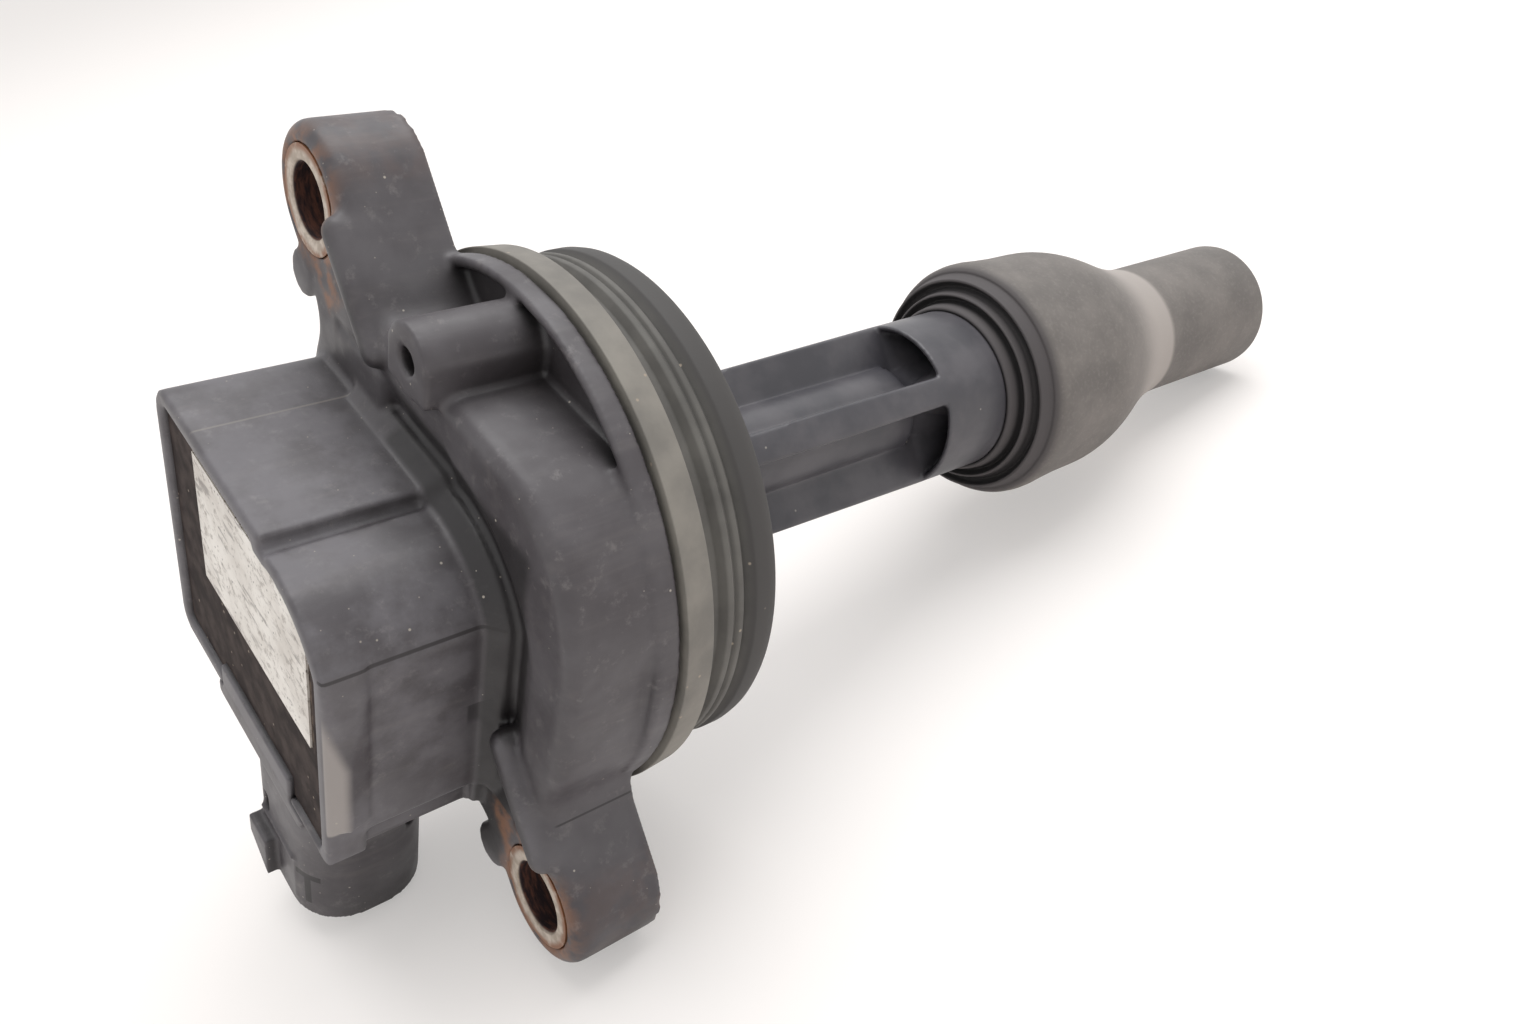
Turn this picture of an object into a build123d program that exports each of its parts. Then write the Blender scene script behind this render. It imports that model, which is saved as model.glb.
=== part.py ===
from build123d import *
import os
from math import cos, hypot, radians, sin

# Coil-on-plug ignition coil.
# Frame: +Z runs up the coil axis to the head, as installed. The origin is on that axis, in the plane of the
# ears' undersides, which sit on the engine. The connector's mouth faces -Y. All sizes are in millimetres.

os.makedirs("parts", exist_ok=True)

# ---- fits -------------------------------------------------------------------------------------------------
snug = 0.02  # pressed, stretched and welded fits are drawn this far apart
slip = 0.2  # assembly clearance of the wound parts
spring_play = 0.3  # radial room round the sliding contact

# ---- flange and ears: the ears stand outside the flange, so they follow its radius -----------------
rim_r = 26.4
ear_circle_r = rim_r + 7.8
ear_angle = 135.0
ear_boss_r = 7.2
ear_height = 9.4
bushing_bore_r = 3.5
bushing_wall = 1.7
nub_r = 2.4
nub_offset = 7.6
nub_inset = 4.6
nub_rise = 0.15
web_thickness = 2.8
web_rise = 1.6
web_start = 18.0
web_draft = 32.0
ear_root_r = 4.5

# ---- flange and body --------------------------------------------------------------------------------------
rim_wall = 1.0
rim_top = 1.2
rim_bottom = -1.2
pocket_floor = -0.4
body_r = rim_r - 0.3
body_flat = rim_r - 1.25
body_back = rim_r - 7.0
flat_blend_r = 2.5
back_corner_r = 10.0
body_edge_r = 1.6
neck_r = rim_r - 4.0
neck_end = -12.6
boss_r = 3.5
boss_x = -0.9
boss_y = body_back + 2.0
boss_top = 11.0
vent_r = 1.3
vent_depth = 9.0
valley_depth = 1.5
valley_floor = 2.4
valley_slope = 68.0
valley_reach = 28.5
skirt_out = 1.6
skirt_lip = 0.15
skirt_top = 10.5
drain_r = 0.6
drain_depth = 4.0
drain_inset = 3.0

# ---- head box ---------------------------------------------------------------------------------------------
head_top = 25.0
head_left = -23.5
head_right = 13.4
head_front = -22.0
head_back = 9.2
head_step_x = 1.4
head_step = 1.0
head_wall = 1.7
head_floor = 2.0
corner_r = 3.4
groove_width = 1.5
step_blend = 0.6
potting_drop = 0.6
label_length = 24.6
label_width = 15.2
label_thickness = 0.2
label_x = -2.7
label_y = -1.2
tab_length = 11.5
tab_out = 1.5
tab_height = 3.6
pad_out = 0.9
pad_bevel = 1.8
pad_height = 3.8
pad_start = -16.6
pad_full = -8.0
pad_end = 3.4
ledge_in = 1.2
ledge_width = 3.6
front_rim = 0.8
notch_x = 4.4
notch_end = 11.4
notch_depth = 2.4

# ---- connector --------------------------------------------------------------------------------------------
socket_width = 17.0
socket_height = 13.6
socket_top = 24.4
socket_x = -1.2
socket_end = -41.4
socket_wall = 1.6
socket_corner = 5.6
socket_depth = 13.0
root_width = 25.0
root_height = 13.6
root_y = -18.8
root_end = -25.6
root_left = -12.5
root_cut = 4.0
root_step = 2.0
latch_width = 8.0
latch_length = 7.0
latch_rise = 2.0
latch_slot = 2.6
side_slot = 3.4
side_slot_depth = 1.9
slot_width = 1.0
slot_depth = 0.8
pin_count = 3
pin_pitch = 4.0
pin_width = 2.2
pin_thickness = 0.8
pin_reach = 8.0

# ---- wound core -------------------------------------------------------------------------------------------
core_x = -5.8
core_y = -7.6
core_z = 11.2
core_length = 29.0
core_width = 22.4
core_stack = 8.0
yoke = 4.4
side_leg = 3.8
centre_leg = 6.0
magnet_thickness = 1.0
bobbin_wall = 0.7
bobbin_flange = 1.0
primary_build = 0.9
secondary_build = 1.2
secondary_rim = 0.3
section_count = 6
section_web = 0.7

# ---- igniter and its strips -------------------------------------------------------------------------------
igniter_width = 14.0
igniter_thickness = 2.6
igniter_height = 5.4
sink_thickness = 0.8
strip_width = 1.6
strip_thickness = 0.6

# ---- high-tension tower -----------------------------------------------------------------------------------
spigot_depth = 7.6
spigot_r = 9.2
tube_r = 5.2
tube_end = -50.1
core_tube_r = 4.3
fin_thickness = 3.4
fin_root_r = 9.3
collar_r = 9.8
collar_top = -51.4
pocket_depth = 6.0
collar_wall = 0.5
pocket_draft = 16.0
tower_end = -74.0
barb_r = 10.7
barb_z = tower_end + 6.0
barb_length = 2.4
tower_bore_r = 2.8
terminal_r = 3.6
terminal_thickness = 1.4
stud_r = 1.4
stud_length = 13.0
resistor_r = 2.6
resistor_length = 20.0
rod_r = 1.5
rod_end = -58.0

# ---- spark plug boot --------------------------------------------------------------------------------------
boot_lip_z = tower_end + 13.0
lip_length = 6.6
boot_bulge_r = 14.9
boot_bulge_end = tower_end - 2.4
shoulder_drop = 11.6
shoulder_in = 2.2
boot_waist_r = 9.1
boot_tip_r = 9.25
boot_end = tower_end - 45.0
boot_waist_z = boot_end + 18.5
plug_bore_r = 5.1
plug_depth = 27.0
guide_r = 4.2

# ---- spring contact ---------------------------------------------------------------------------------------
wire_r = 0.4
spring_r = 2.1
spring_turns = 10
cup_height = 6.0
cup_shoulder = 2.0
cup_floor = 2.4
cup_rise = 1.5

# ---- flange seal ------------------------------------------------------------------------------------------
band_top = -1.6
band_r = rim_r + 0.45
band_end = -4.5
groove_r = rim_r - 2.0
ridge_r = rim_r - 1.2
lip_r = rim_r - 1.1
lip_top = -9.7
seal_end = -13.6


def finish(piece, name):
    piece.label = name
    export_step(piece, f"parts/{name}.step")


def beside_ear(corner):
    """True where an ear's straight side runs into the body."""
    turn = radians(ear_angle)
    off_axis = abs(corner.X * sin(turn) - corner.Y * cos(turn))
    return abs(off_axis - ear_boss_r) < 1e-4 and hypot(corner.X, corner.Y) < rim_r + 2


# ---- shared outlines --------------------------------------------------------------------------------------
# The head box: small rounds to the front, a large one at the back left, and a stepped, crowned shoulder at the
# back right.
with BuildSketch() as head_outline:
    with BuildLine():
        crown_y = head_back - head_step
        crown_end = head_back - 2 * corner_r
        Polyline((head_step_x + step_blend, crown_y), (head_step_x, crown_y), (head_step_x, head_back),
                 (head_left, head_back), (head_left, head_front), (head_right, head_front),
                 (head_right, crown_end))
        ThreePointArc((head_step_x + step_blend, crown_y),
                      ((head_step_x + head_right) / 2 + corner_r / 2, crown_y - corner_r / 2.6),
                      (head_right, crown_end))
    make_face()
    fillet(head_outline.vertices().sort_by_distance((head_left, head_back))[0], corner_r)
    fillet(head_outline.vertices().sort_by_distance((head_left, head_front))[0], corner_r / 1.5)
    fillet(head_outline.vertices().sort_by_distance((head_right, head_front))[0], corner_r / 3)

# The body between ears and flange: the flange circle with three flats, cut back behind the head.
with BuildSketch() as body_outline:
    Circle(body_r)
    with Locations((0, (body_back - body_flat) / 2)):
        Rectangle(2 * body_flat, body_back + body_flat, mode=Mode.INTERSECT)
    fillet([corner for corner in body_outline.vertices() if corner.Y < body_back - 0.01], flat_blend_r)
    Rectangle(2 * ear_circle_r, 2 * ear_boss_r, rotation=ear_angle)
    with PolarLocations(ear_circle_r, 2, start_angle=ear_angle):
        Circle(ear_boss_r)
    fillet([corner for corner in body_outline.vertices() if beside_ear(corner)], ear_root_r)
    fillet(body_outline.vertices().filter_by_position(Axis.Y, body_back - 0.01, body_back + 0.01).sort_by(
        Axis.X)[-1], back_corner_r)

# ---- case: head box, body, ears and flange in one moulding -------------------------------------------------
ear_places = PolarLocations(ear_circle_r, 2, start_angle=ear_angle)
with BuildPart() as case:
    with BuildSketch():
        add(body_outline.sketch)
    extrude(amount=ear_height)
    fillet(case.faces().sort_by(Axis.Z)[-1].edges(), body_edge_r)
    with BuildSketch(Plane.XY.offset(rim_bottom)):
        Circle(rim_r)
    extrude(amount=rim_top - rim_bottom)
    # the pocket between the body's walls and the flange rim
    with BuildSketch(Plane.XY.offset(pocket_floor)):
        Circle(rim_r - rim_wall)
        add(body_outline.sketch, mode=Mode.SUBTRACT)
    extrude(amount=rim_top - pocket_floor, mode=Mode.SUBTRACT)
    with BuildSketch(Plane.XY.offset(rim_bottom)):
        Circle(neck_r)
    extrude(amount=neck_end - rim_bottom)
    # vent boss down to the flange
    with BuildSketch(Plane.XY.offset(pocket_floor)):
        with Locations((boss_x, boss_y)):
            Circle(boss_r)
        with Locations((boss_x, (boss_y + body_back) / 2)):
            Rectangle(2 * boss_r, boss_y - body_back + 2)
    extrude(amount=boss_top - pocket_floor)
    # sloping valley round the back and right of the head, and the skirt at the head's foot
    valley_z = ear_height - valley_depth
    with BuildSketch(Plane.XY.offset(valley_z)):
        offset(head_outline.sketch, amount=valley_floor)
        with Locations((head_right, head_back)):
            Rectangle(2 * valley_reach, 2 * valley_reach - 2 * corner_r, mode=Mode.INTERSECT)
    extrude(amount=valley_depth + 1, taper=-valley_slope, mode=Mode.SUBTRACT)
    with BuildSketch(Plane.XY.offset(valley_z)) as skirt:
        offset(head_outline.sketch, amount=skirt_out)
        with Locations((head_right, head_back)):
            Rectangle(2 * valley_reach, 2 * valley_reach, mode=Mode.INTERSECT)
    extrude(amount=skirt_top - skirt_out - valley_z)
    with BuildSketch(Plane.XY.offset(skirt_top - skirt_out)):
        add(skirt.sketch)
    extrude(amount=skirt_out - skirt_lip, taper=45)
    # head box
    with BuildSketch(Plane.XY.offset(rim_top)):
        add(head_outline.sketch)
    extrude(amount=head_top - rim_top)
    # nubs and raised webs beside the bushings
    for turn in (0, 180):
        ear_plane = Plane.XY.rotated((0, 0, ear_angle - 90 + turn))
        side = -1 if turn == 0 else 1
        with BuildSketch(ear_plane):
            with Locations((side * nub_offset, ear_circle_r - nub_inset)):
                Circle(nub_r)
        extrude(amount=ear_height + nub_rise)
        with BuildSketch(ear_plane.offset(ear_height)):
            with BuildLine():
                inner_side = -side * (ear_boss_r - web_thickness)
                outer_side = -side * (ear_boss_r - body_edge_r / 4)
                web_end = ear_circle_r - bushing_bore_r + web_thickness / 4
                Polyline((inner_side, web_start), (inner_side, web_end - web_thickness), (outer_side, web_end),
                         (outer_side, web_start), close=True)
            make_face()
        extrude(amount=web_rise, taper=web_draft)
    # cavity, window for the connector, vent, bushing holes, tower socket and high-tension passage
    with BuildSketch(Plane.XY.offset(head_floor)):
        offset(head_outline.sketch, amount=-head_wall, kind=Kind.INTERSECTION)
    extrude(amount=head_top - head_floor, mode=Mode.SUBTRACT)
    with BuildSketch(Plane.XY.offset(socket_top - root_height)):
        with Locations(((root_left + notch_x) / 2, head_front)):
            Rectangle(notch_x - root_left, 3 * head_wall)
    extrude(amount=head_top - socket_top + root_height, mode=Mode.SUBTRACT)
    with BuildSketch(Plane.XY.offset(head_top - notch_depth)):
        with Locations(((notch_x + notch_end) / 2, head_front + front_rim + head_wall / 2)):
            Rectangle(notch_end - notch_x, head_wall)
    extrude(amount=notch_depth, mode=Mode.SUBTRACT)
    with Locations((boss_x, boss_y, boss_top)):
        Hole(vent_r, depth=vent_depth)
    with Locations((head_right - drain_inset, head_back + valley_floor - drain_r, ear_height)):
        Hole(drain_r, depth=drain_depth)
    with Locations(*[(p.position.X, p.position.Y, ear_height) for p in ear_places.locations]):
        Hole(bushing_bore_r + bushing_wall + snug, depth=ear_height)
    with Locations((0, 0, neck_end + spigot_depth / 2)):
        Cylinder(spigot_r + snug, spigot_depth, mode=Mode.SUBTRACT)
    with Locations((0, 0, head_floor)):
        CounterBoreHole(tower_bore_r, terminal_r + snug, terminal_thickness, depth=head_floor - neck_end)
    # groove beside the step in the back wall
    with Locations((head_step_x + groove_width / 2, crown_y + groove_width / 4, head_top)):
        Hole(groove_width / 2, depth=head_top - skirt_top)
    # tab on the left wall, bevelled pad and stepped edge on the right
    with Locations((head_left - tab_out / 2 + snug, -1.5, head_top - potting_drop - tab_height / 2)):
        Box(tab_out + 2 * snug, tab_length, tab_height)
    with BuildSketch(Plane.XZ.offset(-pad_end)):
        with BuildLine():
            Polyline((head_right - snug, head_top), (head_right + pad_out, head_top - pad_bevel),
                     (head_right + pad_out / 3, head_top - pad_height), (head_right - snug, head_top - pad_height),
                     close=True)
        make_face()
    extrude(amount=pad_end - pad_start)
    with BuildSketch(Plane.XY.offset(head_top - pad_height)):
        with BuildLine():
            Polyline((head_right + snug, pad_end), (head_right + 2 * pad_out, pad_end),
                     (head_right + 2 * pad_out, pad_full), (head_right + pad_out, pad_full), close=True)
        make_face()
    extrude(amount=pad_height, mode=Mode.SUBTRACT)
    with BuildSketch(Plane.XY.offset(skirt_top)):
        with Locations((head_right, head_front)):
            Rectangle(2 * ledge_in, 2 * ledge_width)
    extrude(amount=head_top - pad_height - skirt_top, mode=Mode.SUBTRACT)
finish(case.part, "case")

# ---- mounting bushings: two steel sleeves ------------------------------------------------------------------
with BuildPart() as mounting_bushings:
    with BuildSketch():
        with ear_places:
            Circle(bushing_bore_r + bushing_wall)
            Circle(bushing_bore_r, mode=Mode.SUBTRACT)
    extrude(amount=ear_height)
    chamfer(mounting_bushings.edges().filter_by(GeomType.CIRCLE).filter_by(
        lambda e: abs(e.radius - bushing_bore_r) < 1e-3), 0.3)
finish(mounting_bushings.part, "mounting_bushings")

# ---- connector housing: root block set in the head's front wall, and the socket ----------------------------
with BuildPart() as connector_housing:
    root_floor = socket_top - root_height
    with BuildSketch(Plane.XY.offset(root_floor + snug)):
        with BuildLine():
            half_root = root_width / 2
            wall_face = head_front - snug
            Polyline((root_left + snug, root_y), (root_left + snug, wall_face), (socket_x - half_root, wall_face),
                     (socket_x - half_root, root_end + root_step), (socket_x - half_root + root_cut, root_end),
                     (socket_x + half_root - root_cut - root_step, root_end),
                     (socket_x + half_root - root_cut, wall_face), (notch_x - snug, wall_face),
                     (notch_x - snug, root_y), close=True)
        make_face()
    extrude(amount=head_top - root_floor - snug)
    chamfer(connector_housing.faces().sort_by(Axis.Z)[-1].edges().sort_by(Axis.Y)[0], head_top - socket_top,
            root_step)
    with BuildSketch(Plane.XZ.offset(-root_end)) as socket_outline:
        with Locations((socket_x, socket_top - socket_height / 2)):
            RectangleRounded(socket_width, socket_height, socket_corner)
    extrude(amount=root_end - socket_end)
    with BuildSketch(Plane.XZ.offset(-socket_end)):
        offset(socket_outline.sketch, amount=-socket_wall)
    extrude(amount=-socket_depth, mode=Mode.SUBTRACT)
    # latch ramp on top, near the mouth
    with BuildSketch(Plane.YZ.offset(socket_x - latch_width / 2)):
        with BuildLine():
            ramp_start = socket_end + 1.2
            Polyline((ramp_start, socket_top - 0.6), (ramp_start, socket_top + latch_rise * 0.5),
                     (ramp_start + 2, socket_top + latch_rise), (ramp_start + latch_length, socket_top + 0.2),
                     (ramp_start + latch_length, socket_top - 0.6), close=True)
        make_face()
    extrude(amount=latch_width)
    # slots beside the latch and in the shell's lower right side
    latch_slot_y = ramp_start + latch_length + latch_slot / 2
    with Locations((socket_x - latch_width / 2 + slot_width, latch_slot_y, socket_top)):
        Box(slot_width, latch_slot, 2 * slot_depth, mode=Mode.SUBTRACT)
    with Locations((socket_x + socket_width / 2, root_end - side_slot, socket_top - socket_height)):
        Box(2 * side_slot_depth, side_slot, 2 * side_slot, mode=Mode.SUBTRACT)
    # slots for the pins
    with Locations((socket_x, (socket_end + socket_depth + root_y) / 2, socket_top - socket_height / 2)):
        with GridLocations(pin_pitch, 1, pin_count, 1):
            Box(pin_width + 2 * snug, root_y - socket_end - socket_depth + 1, pin_thickness + 2 * snug,
                mode=Mode.SUBTRACT)
finish(connector_housing.part, "connector_housing")

# ---- connector pins: three blades through the root ---------------------------------------------------------
pin_z = socket_top - socket_height / 2
pin_tip = socket_end + socket_depth - pin_reach
pin_back = root_y + 0.4
with BuildPart() as connector_pins:
    with Locations((socket_x, (pin_tip + pin_back) / 2, pin_z)):
        with GridLocations(pin_pitch, 1, pin_count, 1):
            Box(pin_width, pin_back - pin_tip, pin_thickness)
    chamfer(connector_pins.faces().group_by(Axis.Y)[0].edges().filter_by(Axis.X), 0.25)
finish(connector_pins.part, "connector_pins")

# ---- laminated core: an E and an I round the windings ------------------------------------------------------
core_floor = core_z - core_stack / 2
bar_x = core_x + core_length / 2 - yoke / 2
with BuildPart() as core_e:
    with BuildSketch(Plane.XY.offset(core_floor)):
        with Locations((core_x - yoke / 2, core_y)):
            Rectangle(core_length - yoke, core_width)
        window_length = core_length - 2 * yoke
        window_width = (core_width - centre_leg) / 2 - side_leg
        with Locations((core_x, core_y)):
            with GridLocations(1, centre_leg + window_width, 1, 2):
                Rectangle(window_length, window_width, mode=Mode.SUBTRACT)
        with Locations((bar_x - yoke / 2 - magnet_thickness / 2, core_y)):
            Rectangle(magnet_thickness, centre_leg, mode=Mode.SUBTRACT)
    extrude(amount=core_stack)
finish(core_e.part, "core_e_laminations")

with BuildPart() as core_i:
    with Locations((bar_x, core_y, core_z)):
        Box(yoke, core_width, core_stack)
finish(core_i.part, "core_i_laminations")

with BuildPart() as core_magnet:
    with Locations((bar_x - yoke / 2 - magnet_thickness / 2, core_y, core_z)):
        Box(magnet_thickness, centre_leg, core_stack)
finish(core_magnet.part, "core_magnet")

# ---- windings: each is a rounded tube on the centre leg, built up by its wall ------------------------------
coil_length = window_length - 2 * slip
leg_y = centre_leg + 2 * slip
leg_z = core_stack + 2 * slip


def tube_section(start, length, inner, wall, corner):
    """A rounded square tube along X. inner is how far its hole stands out from the leg's own clearance."""
    with BuildSketch(Plane.YZ.offset(start)) as section:
        with Locations((core_y, core_z)):
            RectangleRounded(leg_y + 2 * (inner + wall), leg_z + 2 * (inner + wall), corner + wall)
            RectangleRounded(leg_y + 2 * inner, leg_z + 2 * inner, corner, mode=Mode.SUBTRACT)
    extrude(section.sketch, amount=length)


coil_start = core_x - coil_length / 2
with BuildPart() as primary_bobbin:
    tube_section(coil_start, coil_length, 0, bobbin_wall, 0.4)
    for flange_start in (coil_start, coil_start + coil_length - bobbin_flange):
        tube_section(flange_start, bobbin_flange, 0, bobbin_wall + primary_build, 0.4)
finish(primary_bobbin.part, "primary_bobbin")

primary_start = coil_start + bobbin_flange
primary_length = coil_length - 2 * bobbin_flange
with BuildPart() as primary_winding:
    tube_section(primary_start, primary_length, bobbin_wall, primary_build, 0.4 + bobbin_wall)
finish(primary_winding.part, "primary_winding")

secondary_inner = bobbin_wall + primary_build + slip
secondary_hub = secondary_inner + bobbin_wall
section_pitch = (coil_length - section_web) / section_count
with BuildPart() as secondary_bobbin:
    tube_section(coil_start, coil_length, secondary_inner, bobbin_wall, 1.6)
    for k in range(section_count + 1):
        tube_section(coil_start + k * section_pitch, section_web, secondary_hub,
                     secondary_build + secondary_rim, 1.6 + bobbin_wall)
finish(secondary_bobbin.part, "secondary_bobbin")

with BuildPart() as secondary_winding:
    for k in range(section_count):
        tube_section(coil_start + k * section_pitch + section_web, section_pitch - section_web,
                     secondary_hub, secondary_build, 1.6 + bobbin_wall)
finish(secondary_winding.part, "secondary_winding")

# ---- igniter module with its heat sink, standing behind the pins -------------------------------------------
igniter_back = pin_back + igniter_thickness
igniter_z = pin_z + igniter_height / 2 - 1.4
with BuildPart() as igniter_module:
    with Locations((socket_x, pin_back + igniter_thickness / 2, igniter_z)):
        Box(igniter_width, igniter_thickness, igniter_height)
    chamfer(igniter_module.edges().filter_by(Axis.X), 0.3)
finish(igniter_module.part, "igniter_module")

with BuildPart() as igniter_heat_sink:
    with Locations((socket_x, igniter_back + sink_thickness / 2, igniter_z)):
        Box(igniter_width, sink_thickness, igniter_height - 0.6)
finish(igniter_heat_sink.part, "igniter_heat_sink")

# ---- bus strips: from the igniter over the windings to the far yoke side -----------------------------------
strip_z = core_z + leg_z / 2 + secondary_hub + secondary_build + secondary_rim + 0.1
with BuildPart() as bus_strips:
    strip_start = igniter_back + sink_thickness
    strip_length = core_y + centre_leg - strip_start
    with Locations((core_x, strip_start + strip_length / 2, strip_z + strip_thickness / 2)):
        with GridLocations(3 * pin_pitch, 1, 2, 1):
            Box(strip_width, strip_length, strip_thickness)
finish(bus_strips.part, "bus_strips")

# ---- potting resin: fills the case round everything inside it ----------------------------------------------
potting_top = head_top - potting_drop
with BuildPart() as potting_resin:
    with BuildSketch(Plane.XY.offset(head_floor)):
        offset(head_outline.sketch, amount=-head_wall, kind=Kind.INTERSECTION)
    extrude(amount=potting_top - head_floor)
    with BuildSketch(Plane.XY.offset(head_top - notch_depth)):
        with Locations(((notch_x + notch_end) / 2, head_front + front_rim + head_wall / 2)):
            Rectangle(notch_end - notch_x, head_wall)
    extrude(amount=potting_top - head_top + notch_depth)
    for inner in (connector_housing, connector_pins, core_e, core_i, core_magnet, primary_bobbin,
                  primary_winding, secondary_bobbin, secondary_winding, igniter_module, igniter_heat_sink,
                  bus_strips):
        add(inner.part, mode=Mode.SUBTRACT)
finish(potting_resin.part, "potting_resin")

# ---- label: a bare plate on the potting --------------------------------------------------------------------
with BuildPart() as label:
    with BuildSketch(Plane.XY.offset(potting_top)):
        offset(head_outline.sketch, amount=-head_wall - slip, kind=Kind.INTERSECTION)
        with Locations((label_x, label_y)):
            Rectangle(label_length, label_width, mode=Mode.INTERSECT)
    extrude(amount=label_thickness)
finish(label.part, "label")

# ---- flange seal: a wide band, two fine ridges and a round end lip on one rubber sleeve ---------------------
with BuildPart() as flange_seal:
    with BuildSketch(Plane.XZ):
        with BuildLine():
            inner = neck_r + snug
            Polyline((inner, rim_bottom - snug), (rim_r - 2, rim_bottom - snug), (rim_r - 1.6, band_top),
                     (band_r, band_top), (band_r - 0.25, band_end), (ridge_r - 0.2, band_end - 0.1),
                     (groove_r, band_end - 0.9), (groove_r, band_end - 2.0), (ridge_r, band_end - 2.6),
                     (ridge_r, band_end - 3.2), (groove_r + 0.4, band_end - 3.5), (ridge_r, band_end - 3.8),
                     (ridge_r, band_end - 4.3), (groove_r, band_end - 4.8), (lip_r - 0.5, lip_top),
                     (lip_r, lip_top - 0.5), (lip_r, lip_top - 1.8))
            ThreePointArc((lip_r, lip_top - 1.8), (lip_r - 1.0, seal_end + 0.6), (inner + 0.6, seal_end))
            Polyline((inner + 0.6, seal_end), (inner, seal_end), (inner, rim_bottom - snug))
        make_face()
    revolve(axis=Axis.Z)
finish(flange_seal.part, "flange_seal")

# ---- tower: tube with four fins, open collar and the end the boot is pushed on -----------------------------
with BuildPart() as tower:
    with BuildSketch(Plane.XY.offset(tube_end)):
        Circle(tube_r)
    extrude(amount=neck_end - tube_end)
    with BuildSketch(Plane.XY.offset(collar_top - pocket_depth)):
        Circle(core_tube_r)
    extrude(amount=tube_end - collar_top + pocket_depth)
    with BuildSketch(Plane.XY.offset(collar_top)) as fins:
        with PolarLocations(0, 2, start_angle=ear_angle, angular_range=180):
            Rectangle(3 * collar_r, fin_thickness)
    extrude(amount=neck_end - collar_top)
    with Locations((0, 0, (neck_end + collar_top) / 2)):
        Cone(collar_r, fin_root_r, neck_end - collar_top, mode=Mode.INTERSECT)
    with BuildSketch(Plane.XY.offset(tower_end)):
        Circle(collar_r)
    extrude(amount=collar_top - tower_end)
    with BuildSketch(Plane.XY.offset(collar_top)):
        Circle(collar_r - collar_wall)
        Circle(core_tube_r, mode=Mode.SUBTRACT)
        add(fins.sketch, mode=Mode.SUBTRACT)
    extrude(amount=-pocket_depth, taper=pocket_draft, mode=Mode.SUBTRACT)
    with BuildSketch(Plane.XZ):
        with BuildLine():
            Polyline((collar_r - 1, barb_z + 1.6), (collar_r, barb_z + 1.6), (barb_r, barb_z + 0.6),
                     (barb_r, barb_z - 0.4), (collar_r, barb_z - barb_length),
                     (collar_r - 1, barb_z - barb_length), close=True)
        make_face()
    revolve(axis=Axis.Z)
    chamfer(tower.faces().sort_by(Axis.Z)[0].outer_wire().edges(), 1.0)
    with Locations((0, 0, neck_end + spigot_depth / 2)):
        Cylinder(spigot_r, spigot_depth)
    with Locations((0, 0, neck_end + spigot_depth)):
        Hole(tower_bore_r, depth=neck_end + spigot_depth - tower_end)
finish(tower.part, "tower")

# ---- high-tension path down the tower ----------------------------------------------------------------------
stud_end = head_floor - terminal_thickness - stud_length
with BuildPart() as high_tension_terminal:
    with BuildSketch(Plane.XZ):
        with BuildLine():
            Polyline((0, head_floor), (terminal_r, head_floor), (terminal_r, head_floor - terminal_thickness),
                     (stud_r, head_floor - terminal_thickness), (stud_r, stud_end), (0, stud_end), close=True)
        make_face()
    revolve(axis=Axis.Z)
finish(high_tension_terminal.part, "high_tension_terminal")

resistor_end = stud_end - resistor_length
with BuildPart() as suppression_resistor:
    with Locations((0, 0, stud_end - resistor_length / 2)):
        Cylinder(resistor_r, resistor_length)
    chamfer(suppression_resistor.edges().filter_by(GeomType.CIRCLE), 0.4)
finish(suppression_resistor.part, "suppression_resistor")

with BuildPart() as conductor_rod:
    with BuildSketch(Plane.XZ):
        with BuildLine():
            Polyline((0, resistor_end), (resistor_r, resistor_end), (resistor_r, resistor_end - 1.5),
                     (rod_r, resistor_end - 2.5), (rod_r, rod_end + 2.5), (resistor_r, rod_end + 1.5),
                     (resistor_r, rod_end), (0, rod_end), close=True)
        make_face()
    revolve(axis=Axis.Z)
finish(conductor_rod.part, "conductor_rod")

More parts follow.
